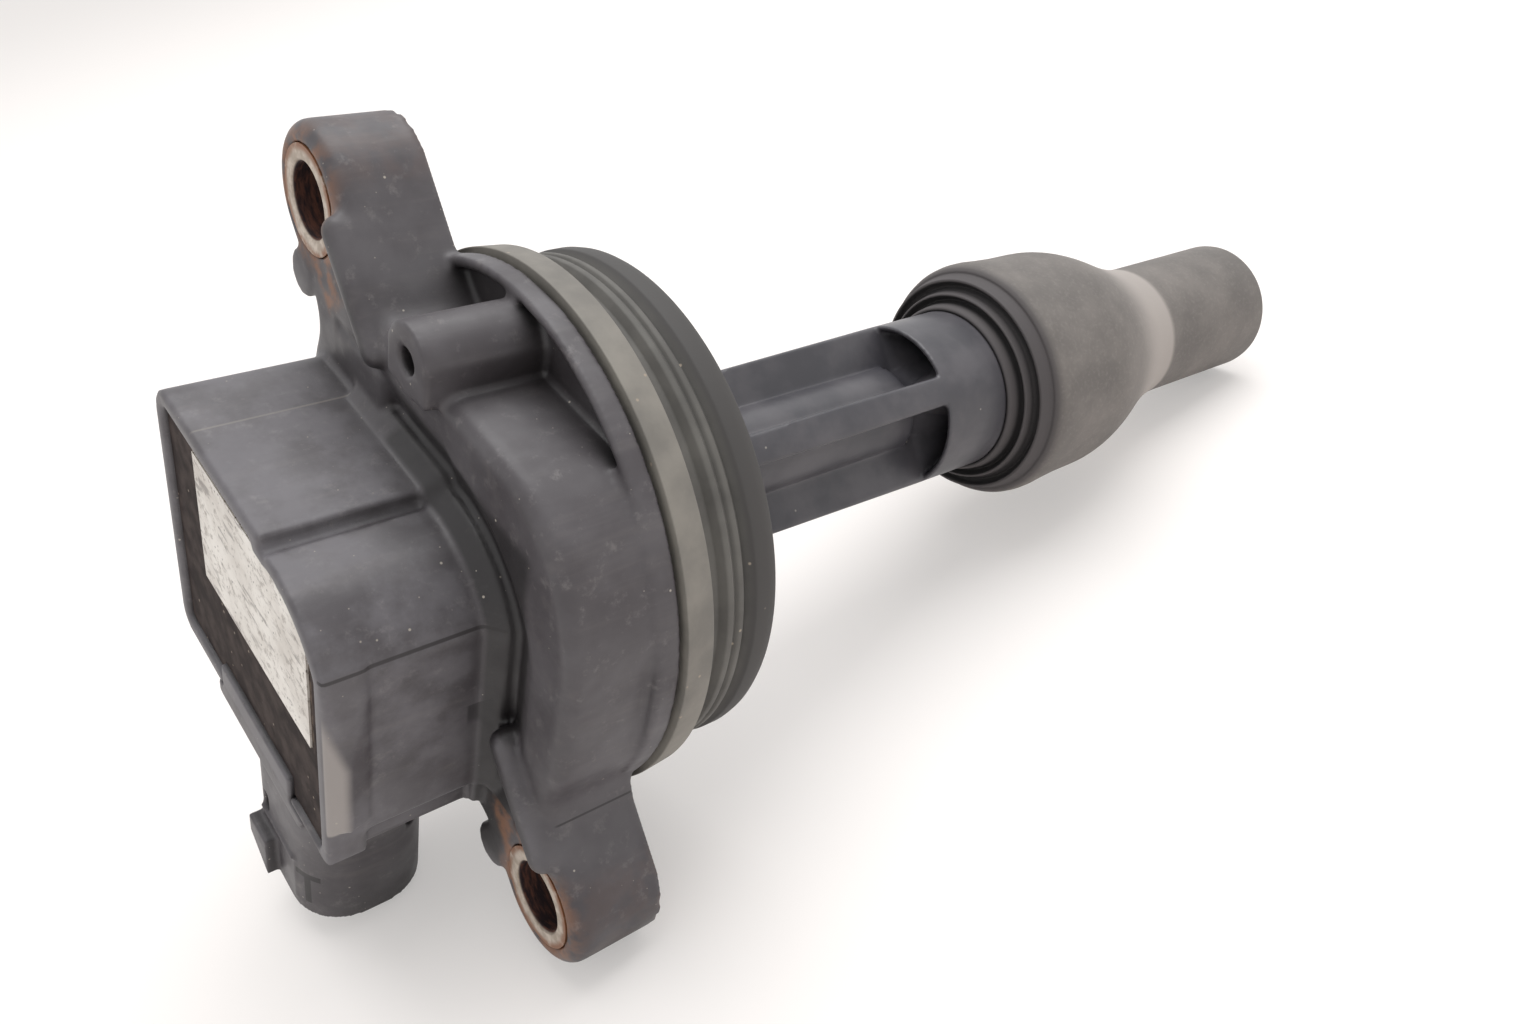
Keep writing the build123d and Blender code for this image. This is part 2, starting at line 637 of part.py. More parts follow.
# ---- spark plug boot ---------------------------------------------------------------------------------------
plug_seat = boot_end + plug_depth
with BuildPart() as spark_plug_boot:
    with BuildSketch(Plane.XZ) as boot_section:
        with BuildLine():
            sleeve = collar_r + snug
            Polyline((guide_r, plug_seat + 1.2), (guide_r, tower_end - snug), (collar_r - 1 + snug, tower_end - snug),
                     (sleeve, tower_end + 1), (sleeve, barb_z - barb_length), (barb_r + snug, barb_z - 0.4),
                     (barb_r + snug, barb_z + 0.6), (sleeve, barb_z + 1.6), (sleeve, boot_lip_z))
            Polyline((sleeve, boot_lip_z), (sleeve + 0.3, boot_lip_z), (sleeve + 0.5, boot_lip_z - 0.3),
                     (sleeve + 0.5, boot_lip_z - 1.3), (sleeve + 1.5, boot_lip_z - 1.2),
                     (sleeve + 1.8, boot_lip_z - 1.5), (sleeve + 1.8, boot_lip_z - 2.3),
                     (sleeve + 3.3, boot_lip_z - 2.1), (sleeve + 3.6, boot_lip_z - 2.4),
                     (sleeve + 3.7, boot_lip_z - 3.6), (boot_bulge_r - 1.0, boot_lip_z - 3.9))
            ThreePointArc((boot_bulge_r - 1.0, boot_lip_z - 3.9), (boot_bulge_r - 0.25, boot_lip_z - 5.0),
                          (boot_bulge_r, boot_lip_z - lip_length))
            Line((boot_bulge_r, boot_lip_z - lip_length), (boot_bulge_r, boot_bulge_end))
            Spline((boot_bulge_r, boot_bulge_end), (boot_bulge_r - shoulder_in, boot_bulge_end - shoulder_drop),
                   (boot_waist_r, boot_waist_z), tangents=((0, -1), (0.02, -1)))
            Line((boot_waist_r, boot_waist_z), (boot_tip_r, boot_end + 1.3))
            ThreePointArc((boot_tip_r, boot_end + 1.3), (boot_tip_r - 0.38, boot_end + 0.38),
                          (boot_tip_r - 1.3, boot_end))
            Polyline((boot_tip_r - 1.3, boot_end), (plug_bore_r + 0.5, boot_end), (plug_bore_r, boot_end + 0.5),
                     (plug_bore_r, plug_seat), (guide_r, plug_seat + 1.2))
        make_face()
    revolve(axis=Axis.Z)
finish(spark_plug_boot.part, "spark_plug_boot")

# ---- spring contact ----------------------------------------------------------------------------------------
cup_end = plug_seat + cup_rise
cup_top = cup_end + cup_height
cup_r = guide_r - spring_play
with BuildPart() as plug_contact:
    with BuildSketch(Plane.XZ):
        with BuildLine():
            peg_r = spring_r - wire_r - 0.1
            shoulder_z = cup_top - cup_shoulder
            Polyline((0, cup_top), (peg_r, cup_top), (peg_r, shoulder_z), (cup_r - 0.6, shoulder_z),
                     (cup_r, shoulder_z - 0.6), (cup_r, cup_end), (cup_r - 0.7, cup_end),
                     (cup_r - 0.7, cup_end + cup_floor), (0, cup_end + cup_floor + wire_r), close=True)
        make_face()
    revolve(axis=Axis.Z)
finish(plug_contact.part, "plug_contact")

spring_foot = shoulder_z + wire_r
spring_head = rod_end - wire_r
with BuildPart() as contact_spring:
    with BuildLine(Plane.XY.offset(spring_foot)) as coil_line:
        Helix(pitch=(spring_head - spring_foot) / spring_turns, height=spring_head - spring_foot, radius=spring_r)
    with BuildSketch(Plane(origin=coil_line.line @ 0, z_dir=coil_line.line % 0)):
        Circle(wire_r)
    sweep(is_frenet=True)
finish(contact_spring.part, "contact_spring")
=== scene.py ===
import bpy
import math
from mathutils import Matrix, Vector


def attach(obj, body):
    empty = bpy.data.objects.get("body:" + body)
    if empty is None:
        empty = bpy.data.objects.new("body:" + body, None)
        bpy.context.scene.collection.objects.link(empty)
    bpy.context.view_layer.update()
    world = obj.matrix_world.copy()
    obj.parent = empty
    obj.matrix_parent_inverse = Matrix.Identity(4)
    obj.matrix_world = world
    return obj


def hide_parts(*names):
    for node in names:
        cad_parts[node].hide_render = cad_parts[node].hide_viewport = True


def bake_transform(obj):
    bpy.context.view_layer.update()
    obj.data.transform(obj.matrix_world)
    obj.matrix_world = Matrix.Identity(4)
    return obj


# Ignition coil: a dark glass-filled nylon moulding with a potted head, a rubber flange seal, a ribbed
# tower and a silicone boot, lying on its side as it was put down. Z is its axis: 0 at the ears'
# undersides, the head above them and the boot below. The connector's mouth faces -Y.

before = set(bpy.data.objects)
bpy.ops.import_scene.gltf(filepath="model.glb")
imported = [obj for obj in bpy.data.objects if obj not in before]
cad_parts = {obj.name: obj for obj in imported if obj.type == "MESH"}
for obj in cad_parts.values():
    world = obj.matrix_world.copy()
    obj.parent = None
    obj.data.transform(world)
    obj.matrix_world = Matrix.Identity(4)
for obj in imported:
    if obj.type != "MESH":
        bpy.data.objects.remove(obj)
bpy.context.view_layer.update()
MM = 0.001
EAR_OUT = 0.0342  # from the coil's axis to each bolt hole
EAR_TURN = 45  # the ears' line lies this many degrees round from Y
EAR_WAY = Vector((-1, 1, 0)).normalized()
ACROSS_EARS = Vector((1, 1, 0)).normalized()


# ---- camera, floor and light ---------------------------------------------------------------------
CAMERA_AT = (0.08097, 0.08223, 0.05109)
CAMERA_TURN = ((0.6066, -0.5844, 0.5390), (0.1856, 0.7634, 0.6187), (-0.7730, -0.2752, 0.5716))
LENS_MM = 29.68
SENSOR_MM = 36
NEAREST_SEEN = 0.01  # the shoulder's near side is closer than the usual 0.1 m


def add_camera():
    data = bpy.data.cameras.new("camera")
    data.lens = LENS_MM
    data.sensor_width = SENSOR_MM
    data.clip_start = NEAREST_SEEN
    camera = bpy.data.objects.new("camera", data)
    camera.matrix_world = Matrix.Translation(CAMERA_AT) @ Matrix(CAMERA_TURN).to_4x4()
    bpy.context.collection.objects.link(camera)
    bpy.context.scene.camera = camera


add_camera()

# The coil rests on its lower ear, its boot's tip and its connector.
FLOOR_UP = Vector((-0.335, 0.911, 0.238)).normalized()
FLOOR_LEVEL = -0.0374
FLOOR_SIZE = 6  # metres, so that its edge is out of sight
PAPER_GLOW = 0.35  # how much of the paper that the eye sees is lit by itself
COIL_MIDDLE = Vector((0, 0, -0.045))
LAMP_WAY = FLOOR_UP + Vector((-0.1, 0.1, -0.3))
STUDIO_LIGHT = 0.8


# ---- shader helpers ------------------------------------------------------------------------------
def linear(hex_colour):
    """A written sRGB colour as the linear colour that shaders take."""
    parts = [int(hex_colour[i:i + 2], 16) / 255 for i in (1, 3, 5)]
    return tuple(p / 12.92 if p <= 0.04045 else ((p + 0.055) / 1.055) ** 2.4 for p in parts) + (1.0,)


def add_node(mat, kind, settings=None, links=None):
    """One shader node. settings are its properties, links its sockets: a value, or an output to join."""
    node = mat.node_tree.nodes.new("ShaderNode" + kind)
    for name, value in (settings or {}).items():
        setattr(node, name, value)
    for name, value in (links or {}).items():
        if isinstance(value, bpy.types.NodeSocket):
            mat.node_tree.links.new(value, node.inputs[name])
        else:
            node.inputs[name].default_value = value
    return node


def new_finish(name, roughness, metallic=0.0, ior=1.5):
    """A named finish and its shader."""
    mat = bpy.data.materials.new(name)
    mat.use_nodes = True
    shader = mat.node_tree.nodes["Principled BSDF"]
    shader.inputs["Roughness"].default_value = roughness
    shader.inputs["Metallic"].default_value = metallic
    shader.inputs["IOR"].default_value = ior
    return mat, shader


def place(mat):
    return add_node(mat, "TexCoord").outputs["Object"]


def both(mat, *amounts):
    """The product of several amounts: 1 where all of them are."""
    product = amounts[0]
    for amount in amounts[1:]:
        product = add_node(mat, "Math", {"operation": "MULTIPLY"}, {0: product, 1: amount}).outputs[0]
    return product


def either(mat, first, second):
    """The larger of two amounts."""
    return add_node(mat, "Math", {"operation": "MAXIMUM"}, {0: first, 1: second}).outputs[0]


def stain(mat, under, over, *amounts):
    """One colour laid over another where every amount is 1. A colour is a hex colour or an output."""
    pick = [linear(c) if isinstance(c, str) else c for c in (under, over)]
    mixer = add_node(mat, "Mix", {"data_type": "RGBA"}, {0: both(mat, *amounts), 6: pick[0], 7: pick[1]})
    return mixer.outputs[2]


def fade(mat, value, start, end, faint=0.0, strong=1.0):
    """Turns a value smoothly from faint at start to strong at end."""
    ranged = add_node(mat, "MapRange", {"interpolation_type": "SMOOTHSTEP"},
                      {"Value": value, "From Min": start, "From Max": end,
                       "To Min": faint, "To Max": strong})
    return ranged.outputs["Result"]


def cloud(mat, size_mm, detail, rough=0.55, stretch=None):
    """Soft noise whose blotches are size_mm across."""
    where = place(mat)
    if stretch:
        where = add_node(mat, "Mapping", None, {"Vector": where, "Scale": stretch}).outputs["Vector"]
    made = add_node(mat, "TexNoise", None, {"Vector": where, "Scale": 1 / (size_mm * MM), "Detail": detail,
                                            "Roughness": rough})
    return made.outputs["Fac"]


def patches(mat, size_mm, detail, start, end, faint=0.0, strong=1.0, **noise):
    """Patches size_mm across, strong where the noise is over end. noise is what cloud takes besides."""
    return fade(mat, cloud(mat, size_mm, detail, **noise), start, end, faint, strong)


def specks(mat, spacing_mm, size_mm, share):
    """Scattered round specks: 1 on a speck. share is how many of the cells hold one."""
    cells = add_node(mat, "TexVoronoi", {"feature": "F1"},
                     {"Vector": place(mat), "Scale": 1 / (spacing_mm * MM)})
    reach = size_mm / spacing_mm
    near = fade(mat, cells.outputs["Distance"], reach, SPECK_CORE * reach)
    cell = add_node(mat, "SeparateColor", None, {"Color": cells.outputs["Color"]})
    chosen = add_node(mat, "Math", {"operation": "LESS_THAN"}, {0: cell.outputs["Red"], 1: share})
    return both(mat, near, chosen.outputs[0])


def coat(mat, shader, colour, height=None, depth_mm=0.01, strength=0.5):
    """Gives a surface its colour and, where a height is given, a relief that deep."""
    mat.node_tree.links.new(colour, shader.inputs["Base Color"])
    if height is not None:
        bump = add_node(mat, "Bump", None,
                        {"Height": height, "Distance": depth_mm * MM, "Strength": strength})
        mat.node_tree.links.new(bump.outputs["Normal"], shader.inputs["Normal"])


def from_ear(mat):
    """How far a point lies out past the nearer bolt hole, to its side and away from its axis, in metres."""
    along, side = [add_node(mat, "VectorMath", {"operation": "DOT_PRODUCT"}, {0: place(mat), 1: way})
                   for way in (EAR_WAY, ACROSS_EARS)]
    reach = add_node(mat, "Math", {"operation": "ABSOLUTE"}, {0: along.outputs["Value"]})
    out = add_node(mat, "Math", {"operation": "SUBTRACT"}, {0: reach.outputs[0], 1: EAR_OUT})
    flat = add_node(mat, "CombineXYZ", None, {"X": out.outputs[0], "Y": side.outputs["Value"]})
    away = add_node(mat, "VectorMath", {"operation": "LENGTH"}, {0: flat.outputs["Vector"]})
    return {"out": out.outputs[0], "side": side.outputs["Value"], "away": away.outputs["Value"]}


def rising(mat, axis, start_mm, end_mm):
    """0 at start_mm and 1 at end_mm. The axis is the coil's X, Y or Z, or an ear's out, side or away."""
    if axis in ("X", "Y", "Z"):
        value = add_node(mat, "SeparateXYZ", None, {"Vector": place(mat)}).outputs[axis]
    else:
        value = from_ear(mat)[axis]
    return fade(mat, value, start_mm * MM, end_mm * MM)


def within(mat, spans):
    """1 inside a region, which spans gives as an axis's start, end and soft edge in mm."""
    edges = []
    for axis, (start, end, soft) in spans.items():
        edges += [rising(mat, axis, start - soft, start), rising(mat, axis, end + soft, end)]
    return both(mat, *edges)


def painted_shade_and_grime(mat, reach_mm, open_share=0.75, shut_share=0.35):
    """1 in the corners, creases and hollows that ambient occlusion finds: painted shade there, with the
    oily dirt that also stays in them.
    """
    shade = add_node(mat, "AmbientOcclusion", {"samples": 8}, {"Distance": reach_mm * MM})
    return fade(mat, shade.outputs["AO"], open_share, shut_share)


# ---- where the marks lie -------------------------------------------------------------------------
# Each is a region, or a pair of places in mm between which a mark fades in: heights, or for the sleeves
# and the rust ring, distances from the bolt hole's axis.
DUSTY_WALLS = {"Z": (12.0, 25.5, 2.5), "Y": (-21.0, 10.5, 0.6)}
RUBBED_STRIP = {"X": (13.25, 15.0, 0.2), "Y": (-16.8, 2.0, 0.5)}
RUBBED_FROM = (22.6, 23.8)
RUBBED_BEND = -8.0  # towards +Y from here the strip grows narrower
RUBBED_TAPER = 0.3
RESIN_SMEAR = {"X": (4.6, 11.6, 0.5), "Y": (-21.4, -19.0, 0.2), "Z": (21.0, 24.0, 0.5)}
# the trough's darkening is partly oily dirt and partly painted shade
TROUGH_OIL_AND_SHADE = {"Z": (7.0, 10.1, 0.5), "X": (-5.5, 16.9, 1.6), "Y": (-26.0, 12.8, 1.6)}
# painted shade on the webs' inner slopes, which face away from the light
WEB_SLOPE_SHADE = {"side": (3.6, 5.6, 0.8), "Z": (9.7, 11.5, 0.3), "out": (-20.0, -2.6, 0.1)}
FLASH_LINE = {"out": (-7.27, -7.13, 0.06), "side": (6.0, 9.0, 0.1), "X": (10.0, 40.0, 0.1),
              "Z": (-1.2, 8.0, 0.6)}
RUST_RUN = {"side": (-3.2, 1.4, 1.2), "out": (-9.0, -4.0, 1.5), "Z": (9.2, 10.5, 0.1)}
RUST_RING = (7.6, 5.3)
# a painted highlight: the pale line stands for the light on the seam's small edge
BACK_SEAM_HIGHLIGHT = {"X": (-14.12, -13.98, 0.1), "Y": (8.9, 12.0, 0.1), "Z": (10.5, 24.2, 1.0)}
PARTING_LINE = {"Y": (2.75, 2.95, 0.1), "X": (12.8, 15.0, 0.1), "Z": (9.0, 26.0, 0.1)}
# painted shade in the recessed T mark on the connector: its bar and its stem
MARK_BAR_SHADE = {"Y": (-35.5, -34.75, 0.1), "X": (2.9, 5.5, 0.1), "Z": (22.6, 25.0, 0.1)}
MARK_STEM_SHADE = {"Y": (-39.6, -34.9, 0.1), "X": (4.0, 4.6, 0.1), "Z": (22.6, 25.0, 0.1)}
CREPT_GLUE = {"X": (-15.4, 9.9, 0.3), "Y": (-9.2, 6.7, 0.3)}
SEAL_BAND = (-4.9, -4.5)
SEAL_LIP = (-9.2, -10.2)
BOOT_LIPS = (-66.2, -64.6)
BOOT_WORN_ABOVE = (-96.8, -95.5)
BOOT_WORN_BELOW = (-82.5, -92.5)
SLEEVE_RIM = (4.3, 5.0)
SLEEVE_BORE = (3.75, 3.55)

# how fine the patterns are
SPECK_CORE = 0.4  # how much of a speck's radius is solid
WAVE_LENGTH = 0.314  # how long one wave of a wave texture is at a scale of 1
SHEET_MM = 0.5
PRIMARY_WIRE_MM = 0.5
SECONDARY_TURN_MM = 0.25  # the wire is 0.06 mm thick, and its turns are drawn this wide to show


# ---- finishes ------------------------------------------------------------------------------------
def dusty_nylon(mat):
    """The moulding's charcoal with its haze, scuffs and wiped streaks, and the dust on the head's walls."""
    body = stain(mat, "#413d40", "#535053", patches(mat, size_mm=9, detail=4, start=0.35, end=0.7))
    scuffs = patches(mat, size_mm=1.6, detail=6, start=0.54, end=0.74, strong=0.55, rough=0.7)
    body = stain(mat, body, "#6e6a6a", scuffs)
    wiped = patches(mat, size_mm=2.2, detail=5, start=0.5, end=0.75, strong=0.14, rough=0.6,
                    stretch=(1.0, 1.0, 0.12))
    body = stain(mat, body, "#7a7471", wiped)
    dust = patches(mat, size_mm=5, detail=5, start=0.35, end=0.65, faint=0.05, strong=0.34, rough=0.6)
    return stain(mat, body, "#868489", within(mat, DUSTY_WALLS), dust)


def rubbed_strip(mat):
    """1 on the bevelled strip beside the label, which narrows towards +Y."""
    where = add_node(mat, "SeparateXYZ", None, {"Vector": place(mat)})
    past = add_node(mat, "Math", {"operation": "SUBTRACT"}, {0: where.outputs["Y"], 1: RUBBED_BEND * MM})
    narrowing = both(mat, either(mat, past.outputs[0], 0.0), RUBBED_TAPER)
    level = add_node(mat, "Math", {"operation": "SUBTRACT"}, {0: where.outputs["Z"], 1: narrowing})
    strip = fade(mat, level.outputs[0], RUBBED_FROM[0] * MM, RUBBED_FROM[1] * MM)
    return both(mat, strip, within(mat, RUBBED_STRIP))


def oil_and_painted_shade(mat, body):
    """Oily dirt and painted shade in the trough round the head, painted shade in every hollow and crease,
    where oily dirt also stays, and painted shade on the webs' inner slopes.
    """
    # the trough darkened: oily dirt there, and painted shade
    body = stain(mat, body, "#1b1819", within(mat, TROUGH_OIL_AND_SHADE), 0.85)
    # painted shade: the wide occlusion darkens the hollows, the pocket under the rim and the undersides,
    # and the narrow one the creases, where oily dirt also stays
    body = stain(mat, body, "#231f20", painted_shade_and_grime(mat, reach_mm=13.0, open_share=0.8, shut_share=0.3), 0.7)
    body = stain(mat, body, "#161314", painted_shade_and_grime(mat, reach_mm=3.0), 0.85)
    # painted shade on the webs' inner slopes
    return stain(mat, body, "#1f1c1e", within(mat, WEB_SLOPE_SHADE), 0.62)


def rusted_nylon(mat, body):
    """Rust that has run from each sleeve towards the head."""
    reach = either(mat, rising(mat, "away", *RUST_RING), within(mat, RUST_RUN))
    patchy = patches(mat, size_mm=2.2, detail=4, start=0.36, end=0.6)
    return stain(mat, body, "#80563a", reach, patchy, 0.85)


def marks_and_painted_light(mat, body):
    """A pale line down the back wall, painted as the highlight on the seam's small edge, a dark parting
    line down the +X one, and painted shade in the recessed T mark on the connector.
    """
    # painted highlight along the back wall's seam
    body = stain(mat, body, "#8b857d", within(mat, BACK_SEAM_HIGHLIGHT), 0.35)
    body = stain(mat, body, "#1d1819", within(mat, PARTING_LINE), 0.8)
    # painted shade in the recessed T mark
    return stain(mat, body, "#151213", either(mat, within(mat, MARK_BAR_SHADE), within(mat, MARK_STEM_SHADE)), 0.9)


def glass_filled_nylon():
    """Moulded, used in an engine bay: charcoal, faintly brown, with haze, grit and rust by the sleeves."""
    mat, shader = new_finish("glass_filled_nylon", roughness=0.5)
    body = stain(mat, dusty_nylon(mat), "#98928e", rubbed_strip(mat), 0.8)
    body = stain(mat, body, "#2c2423", within(mat, RESIN_SMEAR), 0.85)
    body = oil_and_painted_shade(mat, body)
    body = stain(mat, body, "#1d1a1c", within(mat, FLASH_LINE), 0.8)
    body = marks_and_painted_light(mat, rusted_nylon(mat, body))
    body = stain(mat, body, "#8d867e", specks(mat, spacing_mm=0.8, size_mm=0.09, share=0.12))
    body = stain(mat, body, "#a39c92", specks(mat, spacing_mm=1.7, size_mm=0.16, share=0.18))
    # glass fibres leave a grain of about 0.15 mm
    coat(mat, shader, body, cloud(mat, size_mm=0.16, detail=2), depth_mm=0.012, strength=0.6)
    gloss = patches(mat, size_mm=5, detail=5, start=0.3, end=0.75, faint=0.42, strong=0.6)
    mat.node_tree.links.new(gloss, shader.inputs["Roughness"])
    return mat


def polished_nylon():
    """The same resin off a polished tool: darker, bluish and glossier."""
    mat, shader = new_finish("polished_nylon", roughness=0.36)
    body = stain(mat, "#3f3e43", "#535155", patches(mat, size_mm=7, detail=4, start=0.35, end=0.7))
    # painted shade in the tower's creases and between its fins
    body = stain(mat, body, "#141315", painted_shade_and_grime(mat, reach_mm=3.0), 0.8)
    body = stain(mat, body, "#8d8983", specks(mat, spacing_mm=2.2, size_mm=0.18, share=0.12))
    coat(mat, shader, body, cloud(mat, size_mm=0.2, detail=2), depth_mm=0.008)
    return mat


def seal_rubber():
    """Moulded rubber: the wide band is dusty olive grey, the grooves and the lip below it stay dark."""
    mat, shader = new_finish("seal_rubber", roughness=0.68)
    dust = patches(mat, size_mm=6, detail=5, start=0.3, end=0.7)
    pale = stain(mat, "#6a6762", "#807c75", dust)
    dark = stain(mat, "#4e4c49", "#605e5a", dust)
    dark = stain(mat, dark, "#3e3c3b", rising(mat, "Z", *SEAL_LIP))
    # painted shade in the seal's grooves and creases
    dark = stain(mat, dark, "#1c1a1a", painted_shade_and_grime(mat, reach_mm=2.0), 0.8)
    body = stain(mat, dark, pale, rising(mat, "Z", *SEAL_BAND))
    body = stain(mat, body, "#958a7c", specks(mat, spacing_mm=1.9, size_mm=0.2, share=0.16))
    coat(mat, shader, body, cloud(mat, size_mm=0.3, detail=3), depth_mm=0.015)
    return mat


def boot_rubber():
    """Silicone rubber, matt and dusty, with a worn paler band where the bulge meets the tip."""
    mat, shader = new_finish("boot_rubber", roughness=0.72)
    body = stain(mat, "#625e5b", "#75706c", patches(mat, size_mm=8, detail=5, start=0.3, end=0.72))
    fine = patches(mat, size_mm=0.5, detail=5, start=0.48, end=0.75, strong=0.3, rough=0.7)
    body = stain(mat, body, "#8d8783", fine)
    worn = both(mat, rising(mat, "Z", *BOOT_WORN_ABOVE), rising(mat, "Z", *BOOT_WORN_BELOW))
    body = stain(mat, body, "#a7a09b", worn, 0.8)
    body = stain(mat, body, "#484445", rising(mat, "Z", *BOOT_LIPS))
    # painted shade, near black, between the lips and in the boot's creases
    body = stain(mat, body, "#0f0d0e", painted_shade_and_grime(mat, reach_mm=2.5, open_share=0.85, shut_share=0.45), 0.9)
    coat(mat, shader, body, cloud(mat, size_mm=0.25, detail=3), depth_mm=0.02)
    return mat


def rusty_sleeve():
    """Sintered steel: pale worn face, rust creeping in from its rim, and a brown bore."""
    mat, shader = new_finish("sintered_steel", roughness=0.55, metallic=0.35)
    face = stain(mat, "#a19384", "#c4b8ab", patches(mat, size_mm=1.2, detail=5, start=0.35, end=0.65))
    rust = patches(mat, size_mm=1.5, detail=5, start=0.25, end=0.5)
    face = stain(mat, face, "#845a3e", rising(mat, "away", *SLEEVE_RIM), rust)
    deep = patches(mat, size_mm=0.7, detail=6, start=0.4, end=0.65, rough=0.6, stretch=(0.35, 0.35, 1.6))
    bore = rising(mat, "away", *SLEEVE_BORE)
    face = stain(mat, face, stain(mat, "#26171a", "#5a382c", deep), bore)
    coat(mat, shader, face, cloud(mat, size_mm=0.35, detail=4), depth_mm=0.03, strength=0.8)
    mat.node_tree.links.new(fade(mat, bore, 0.0, 1.0, faint=0.45, strong=0.85), shader.inputs["Roughness"])
    return mat


def potting_epoxy():
    """Cast resin, dark brown and dull with dust, with glue crept out round the label."""
    mat, shader = new_finish("potting_epoxy", roughness=0.85, ior=1.25)
    body = stain(mat, "#2a2322", "#463d3a", patches(mat, size_mm=3, detail=6, start=0.35, end=0.7))
    blobs = patches(mat, size_mm=1.2, detail=4, start=0.35, end=0.6)
    body = stain(mat, body, "#6f6156", within(mat, CREPT_GLUE), blobs, 0.7)
    # painted shade on the potting next to the walls and the label's edges
    body = stain(mat, body, "#1b1514", painted_shade_and_grime(mat, reach_mm=3.0), 0.7)
    body = stain(mat, body, "#9a8d80", specks(mat, spacing_mm=1.3, size_mm=0.2, share=0.25))
    coat(mat, shader, body, cloud(mat, size_mm=1.4, detail=4), depth_mm=0.05, strength=0.4)
    return mat


def label_film():
    """White polyester film gone yellowish, speckled with engine grime and left bare."""
    mat, shader = new_finish("label_film", roughness=0.38)
    body = stain(mat, "#bab3aa", "#dfdbd4", patches(mat, size_mm=7, detail=4, start=0.3, end=0.7))
    grime = patches(mat, size_mm=1.1, detail=8, start=0.51, end=0.64, rough=0.75)
    body = stain(mat, body, "#6d5f52", grime, 0.7)
    streaks = patches(mat, size_mm=0.9, detail=5, start=0.55, end=0.66, rough=0.6, stretch=(0.22, 1.0, 1.0))
    body = stain(mat, body, "#655c55", streaks, 0.75)
    body = stain(mat, body, "#4b3f37", specks(mat, spacing_mm=0.8, size_mm=0.16, share=0.3))
    coat(mat, shader, body)
    return mat


def bare_metal(name, hex_colour, roughness, grain_mm=0.4):
    """Plain metal, drawn, stamped, turned or plated: bright, with a faint brown tarnish."""
    mat, shader = new_finish(name, roughness, metallic=1.0)
    tarnish = patches(mat, size_mm=2.5, detail=4, start=0.4, end=0.7, strong=0.3)
    body = stain(mat, hex_colour, "#5b5045", tarnish)
    coat(mat, shader, body, cloud(mat, size_mm=grain_mm, detail=3), depth_mm=0.01, strength=0.4)
    return mat


def layered(mat, shader, way, layer_mm, dark, pale, depth_mm, strength):
    """Ridges one layer apart along an axis, dark between them."""
    layers = add_node(mat, "TexWave", {"bands_direction": way, "wave_profile": "SIN"},
                      {"Vector": place(mat), "Scale": WAVE_LENGTH / (layer_mm * MM), "Distortion": 0.0})
    body = stain(mat, dark, pale, layers.outputs["Fac"])
    coat(mat, shader, body, layers.outputs["Fac"], depth_mm, strength)


def enamelled_wire(name, hex_colour, wire_mm):
    """Copper wire laid turn by turn round the coil's core: fine ridges across X, coppery and glossy."""
    mat, shader = new_finish(name, roughness=0.3, metallic=0.8)
    layered(mat, shader, "X", wire_mm, "#3c170c", hex_colour, depth_mm=wire_mm / 2, strength=0.8)
    return mat


def laminated_steel():
    """Silicon steel sheets, 0.5 mm thick, stacked along Z: grey with fine dark lines."""
    mat, shader = new_finish("laminated_steel", roughness=0.45, metallic=1.0)
    layered(mat, shader, "Z", SHEET_MM, "#2e2e30", "#6a6a6c", depth_mm=0.05, strength=0.6)
    return mat


def moulded_bobbin():
    """Moulded glass-filled polyester: cream, with a fine grain."""
    mat, shader = new_finish("moulded_polyester", roughness=0.5)
    body = stain(mat, "#b9ae98", "#cfc5b0", patches(mat, size_mm=4, detail=3, start=0.3, end=0.7))
    coat(mat, shader, body, cloud(mat, size_mm=0.2, detail=2))
    return mat


def fired_ceramic():
    """Glazed alumina of the suppression resistor: off-white and glossy."""
    mat, shader = new_finish("fired_ceramic", roughness=0.25)
    body = stain(mat, "#cfcabd", "#dcd8ce", patches(mat, size_mm=5, detail=3, start=0.3, end=0.7))
    coat(mat, shader, body)
    return mat


def chip_epoxy():
    """Transfer-moulded epoxy of the igniter: black, with a fine matt grain."""
    mat, shader = new_finish("chip_epoxy", roughness=0.6)
    body = stain(mat, "#141414", "#202020", patches(mat, size_mm=1, detail=4, start=0.3, end=0.7))
    coat(mat, shader, body, cloud(mat, size_mm=0.12, detail=2), depth_mm=0.01, strength=0.6)
    return mat


nylon = glass_filled_nylon()
rubber = boot_rubber()
band_rubber = seal_rubber()
tower_nylon = polished_nylon()
copper_strip = bare_metal("stamped_copper", "#c07a58", 0.35)
tinned = bare_metal("tinned_brass", "#cbc5b8", 0.3)
brass = bare_metal("turned_brass", "#c9a35c", 0.3)
zinc_steel = bare_metal("zinc_plated_steel", "#b3b4b5", 0.35)
spring_wire = bare_metal("drawn_spring_wire", "#a9aaab", 0.25, 0.2)
aluminium = bare_metal("stamped_aluminium", "#c3c4c6", 0.4)
magnet_plating = bare_metal("nickel_plating", "#b9b4aa", 0.25)
lamination = laminated_steel()
bobbin = moulded_bobbin()
primary_wire = enamelled_wire("enamelled_wire_0.5", "#b5623a", PRIMARY_WIRE_MM)
secondary_wire = enamelled_wire("enamelled_wire_0.06", "#9a4a2a", SECONDARY_TURN_MM)

